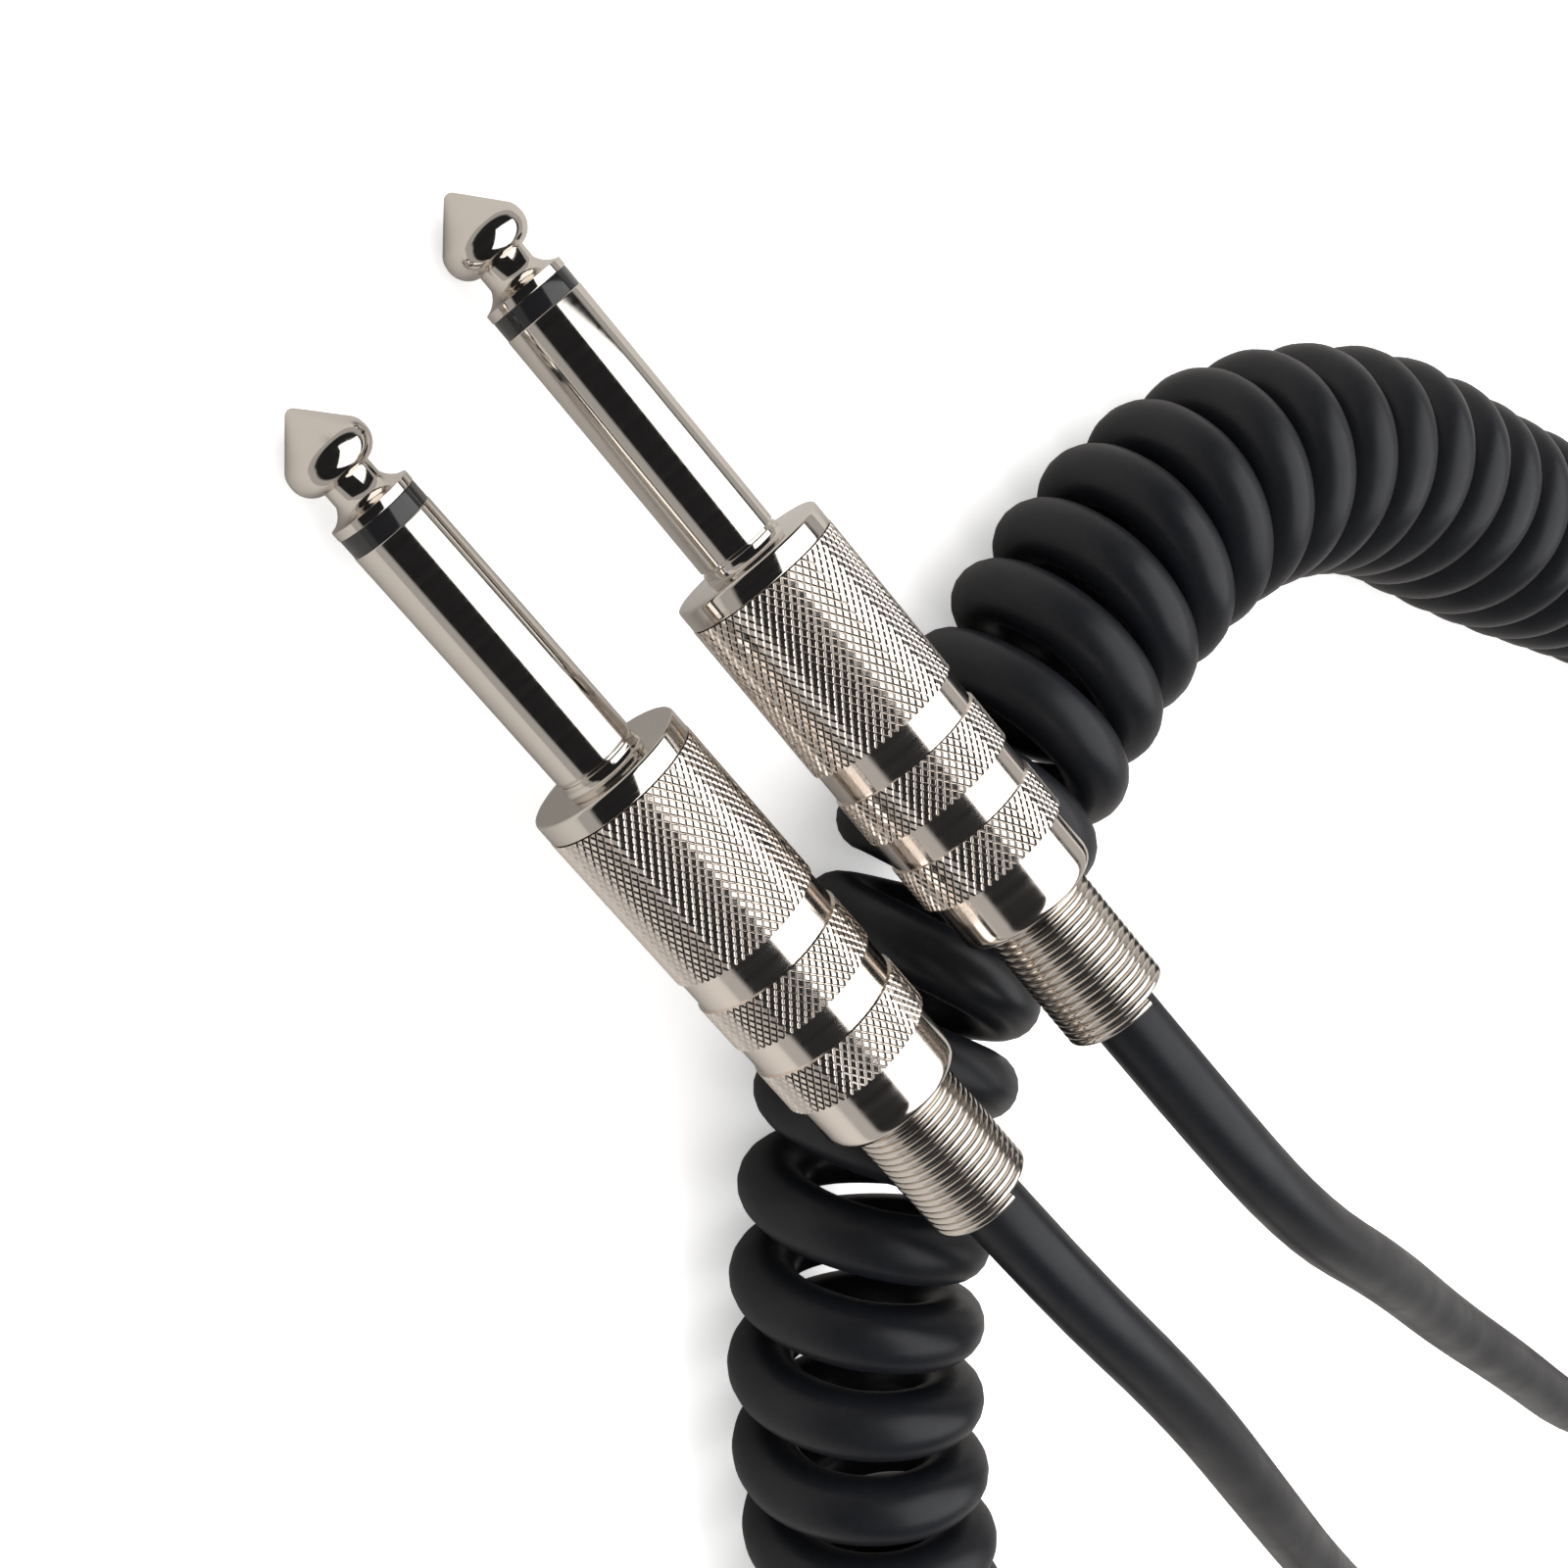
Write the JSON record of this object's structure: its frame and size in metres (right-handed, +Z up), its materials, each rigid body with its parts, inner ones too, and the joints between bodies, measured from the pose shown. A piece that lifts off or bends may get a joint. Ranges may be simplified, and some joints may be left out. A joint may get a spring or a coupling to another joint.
{
  "type": "instrument cable",
  "caption": "Curly instrument cable with a straight screw-barrel jack plug on each end; it carries a signal from an instrument to an amplifier and stretches as the player moves.",
  "frame": {"origin": "on the table that the cable lies on, under the middle of the box round the two plugs", "axes": "+Z up from the table; +Y from the plugs' tips towards their rears; +X to the side on which the cord of plug a runs"},
  "size_m": [0.1922, 0.2295, 0.0369],
  "materials": {
    "contact_nickel": "polished nickel plate, fine turning marks",
    "barrel_nickel": "nickel plate over diamond knurling, with two plain rings",
    "spring_steel": "nickel plated spring wire, close wound",
    "insulator_black": "glossy black acetal",
    "lug_brass": "stamped brass, dull",
    "washer_fibre": "red fibre, matt",
    "core_insulation": "natural polyethylene, waxy",
    "shield_copper": "twisted bare copper",
    "solder": "satin tin solder",
    "liner_plastic": "thin translucent tube, smooth",
    "cord_jacket": "black flexible jacket, satin",
    "curly_jacket": "black flexible jacket, satin, wound in close turns"
  },
  "bodies": {
    "root": {"tip_contact_a": "contact_nickel", "tip_insulator_a": "insulator_black", "sleeve_contact_a": "contact_nickel", "ground_lug_a": "lug_brass", "rear_washer_a": "washer_fibre", "tip_lug_a": "lug_brass", "core_wire_a": "core_insulation", "shield_wire_a": "shield_copper", "tip_solder_a": "solder", "ground_solder_a": "solder", "cable_end_a": "cord_jacket", "tail_a": "cord_jacket", "tip_contact_b": "contact_nickel", "tip_insulator_b": "insulator_black", "sleeve_contact_b": "contact_nickel", "ground_lug_b": "lug_brass", "rear_washer_b": "washer_fibre", "tip_lug_b": "lug_brass", "core_wire_b": "core_insulation", "shield_wire_b": "shield_copper", "tip_solder_b": "solder", "ground_solder_b": "solder", "cable_end_b": "cord_jacket", "tail_b": "cord_jacket", "curly_cord": "curly_jacket"},
    "liner_a": {"liner_tube_a": "liner_plastic"},
    "screw_barrel_a": {"barrel_a": "barrel_nickel", "strain_relief_a": "spring_steel"},
    "liner_b": {"liner_tube_b": "liner_plastic"},
    "screw_barrel_b": {"barrel_b": "barrel_nickel", "strain_relief_b": "spring_steel"}
  },
  "joints": [
    {"name": "liner_slide_a", "type": "slide", "parent": "root", "child": "liner_a", "axis": [0.5698, 0.7562, 0.3216], "range_m": [0, 0.0045]},
    {"name": "barrel_turn_a", "type": "hinge", "parent": "liner_a", "child": "screw_barrel_a", "pos_m": [0.00492, -0.00689, 0.01257], "axis": [0.5698, 0.7562, 0.3216], "range_deg": [0, 2160]},
    {"name": "liner_slide_b", "type": "slide", "parent": "root", "child": "liner_b", "axis": [0.5902, 0.7083, 0.3873], "range_m": [0, 0.0045]},
    {"name": "barrel_turn_b", "type": "hinge", "parent": "liner_b", "child": "screw_barrel_b", "pos_m": [-0.01138, -0.00013, 0.01452], "axis": [0.5902, 0.7083, 0.3873], "range_deg": [0, 2160]}
  ],
  "couplings": [
    {"joint": "liner_slide_a", "follows": "barrel_turn_a", "m_per_rad": 0.00011937},
    {"joint": "liner_slide_b", "follows": "barrel_turn_b", "m_per_rad": 0.00011937}
  ]
}
